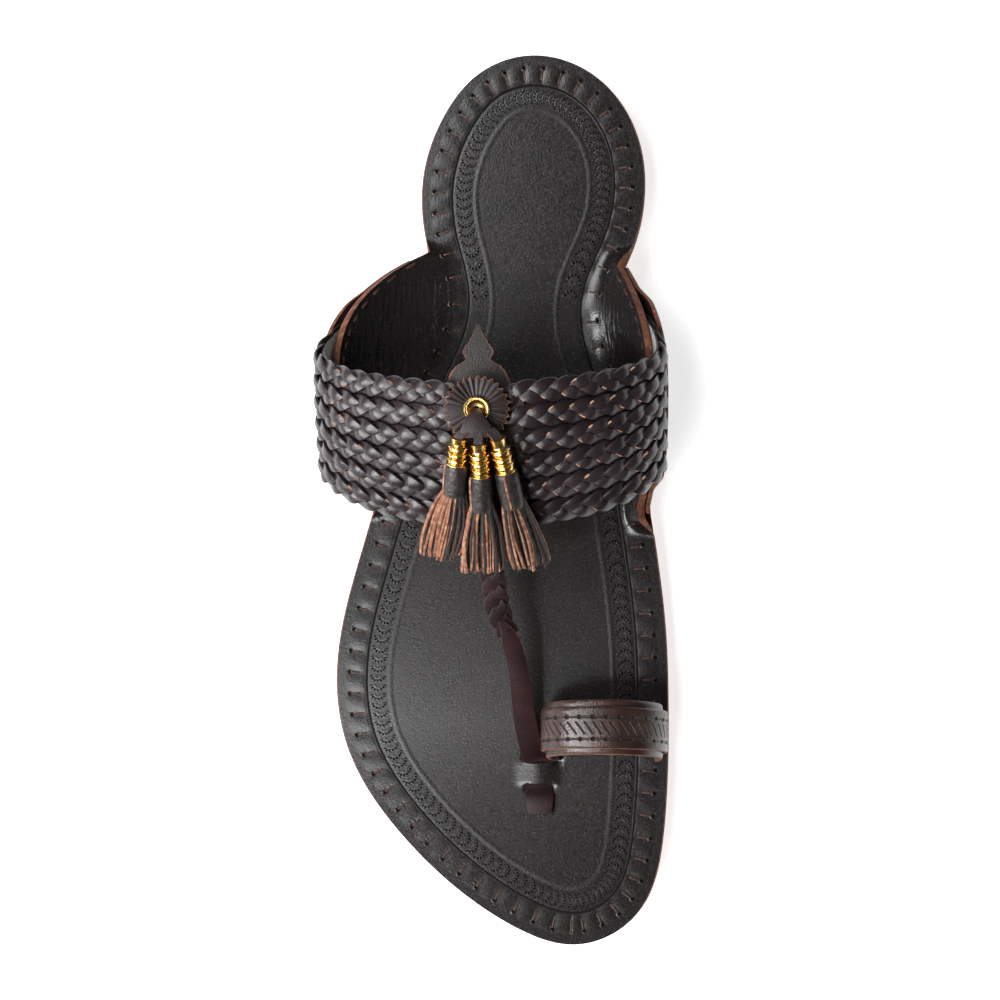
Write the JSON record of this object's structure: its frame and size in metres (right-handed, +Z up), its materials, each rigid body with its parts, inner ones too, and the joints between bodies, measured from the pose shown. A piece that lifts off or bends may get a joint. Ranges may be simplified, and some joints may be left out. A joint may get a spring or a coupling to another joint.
{
  "type": "kolhapuri sandal",
  "caption": "Right kolhapuri sandal: flat leather sole on tan rubber, plaited instep band held by side ears, toe strap, toe loop, and a brass and tassel ornament.",
  "frame": {"origin": "on the floor under the sole, midway between the heel end and the toe tip and midway across", "axes": "+Z up, the toe points to -Y, the inner (medial) side of the foot is +X"},
  "size_m": [0.1077, 0.2796, 0.0748],
  "materials": {
    "outsole_rubber": "tan, matt, waved tread",
    "raw_leather": "raw edge, stacked",
    "footbed_leather": "black brown, smooth, tooled border",
    "band_leather": "dark brown, plaited, satin",
    "strap_leather": "red brown, satin",
    "fringe_leather": "dark face, tan flesh side and cut edges",
    "brass": "polished"
  },
  "bodies": {
    "root": {"outsole": "outsole_rubber", "midsole": "raw_leather", "insole": "footbed_leather", "ear_cover_lateral": "band_leather", "ear_cover_medial": "band_leather", "upper": "band_leather", "toe_loop": "strap_leather", "toe_loop_overlay": "strap_leather", "crown_tab": "band_leather", "rosette": "band_leather", "eyelet": "brass", "tassel_tongue": "strap_leather", "ferrule_lateral": "brass", "ferrule_centre": "brass", "ferrule_medial": "brass", "tassel_lateral": "fringe_leather", "tassel_centre": "fringe_leather", "tassel_medial": "fringe_leather"}
  },
  "joints": []
}
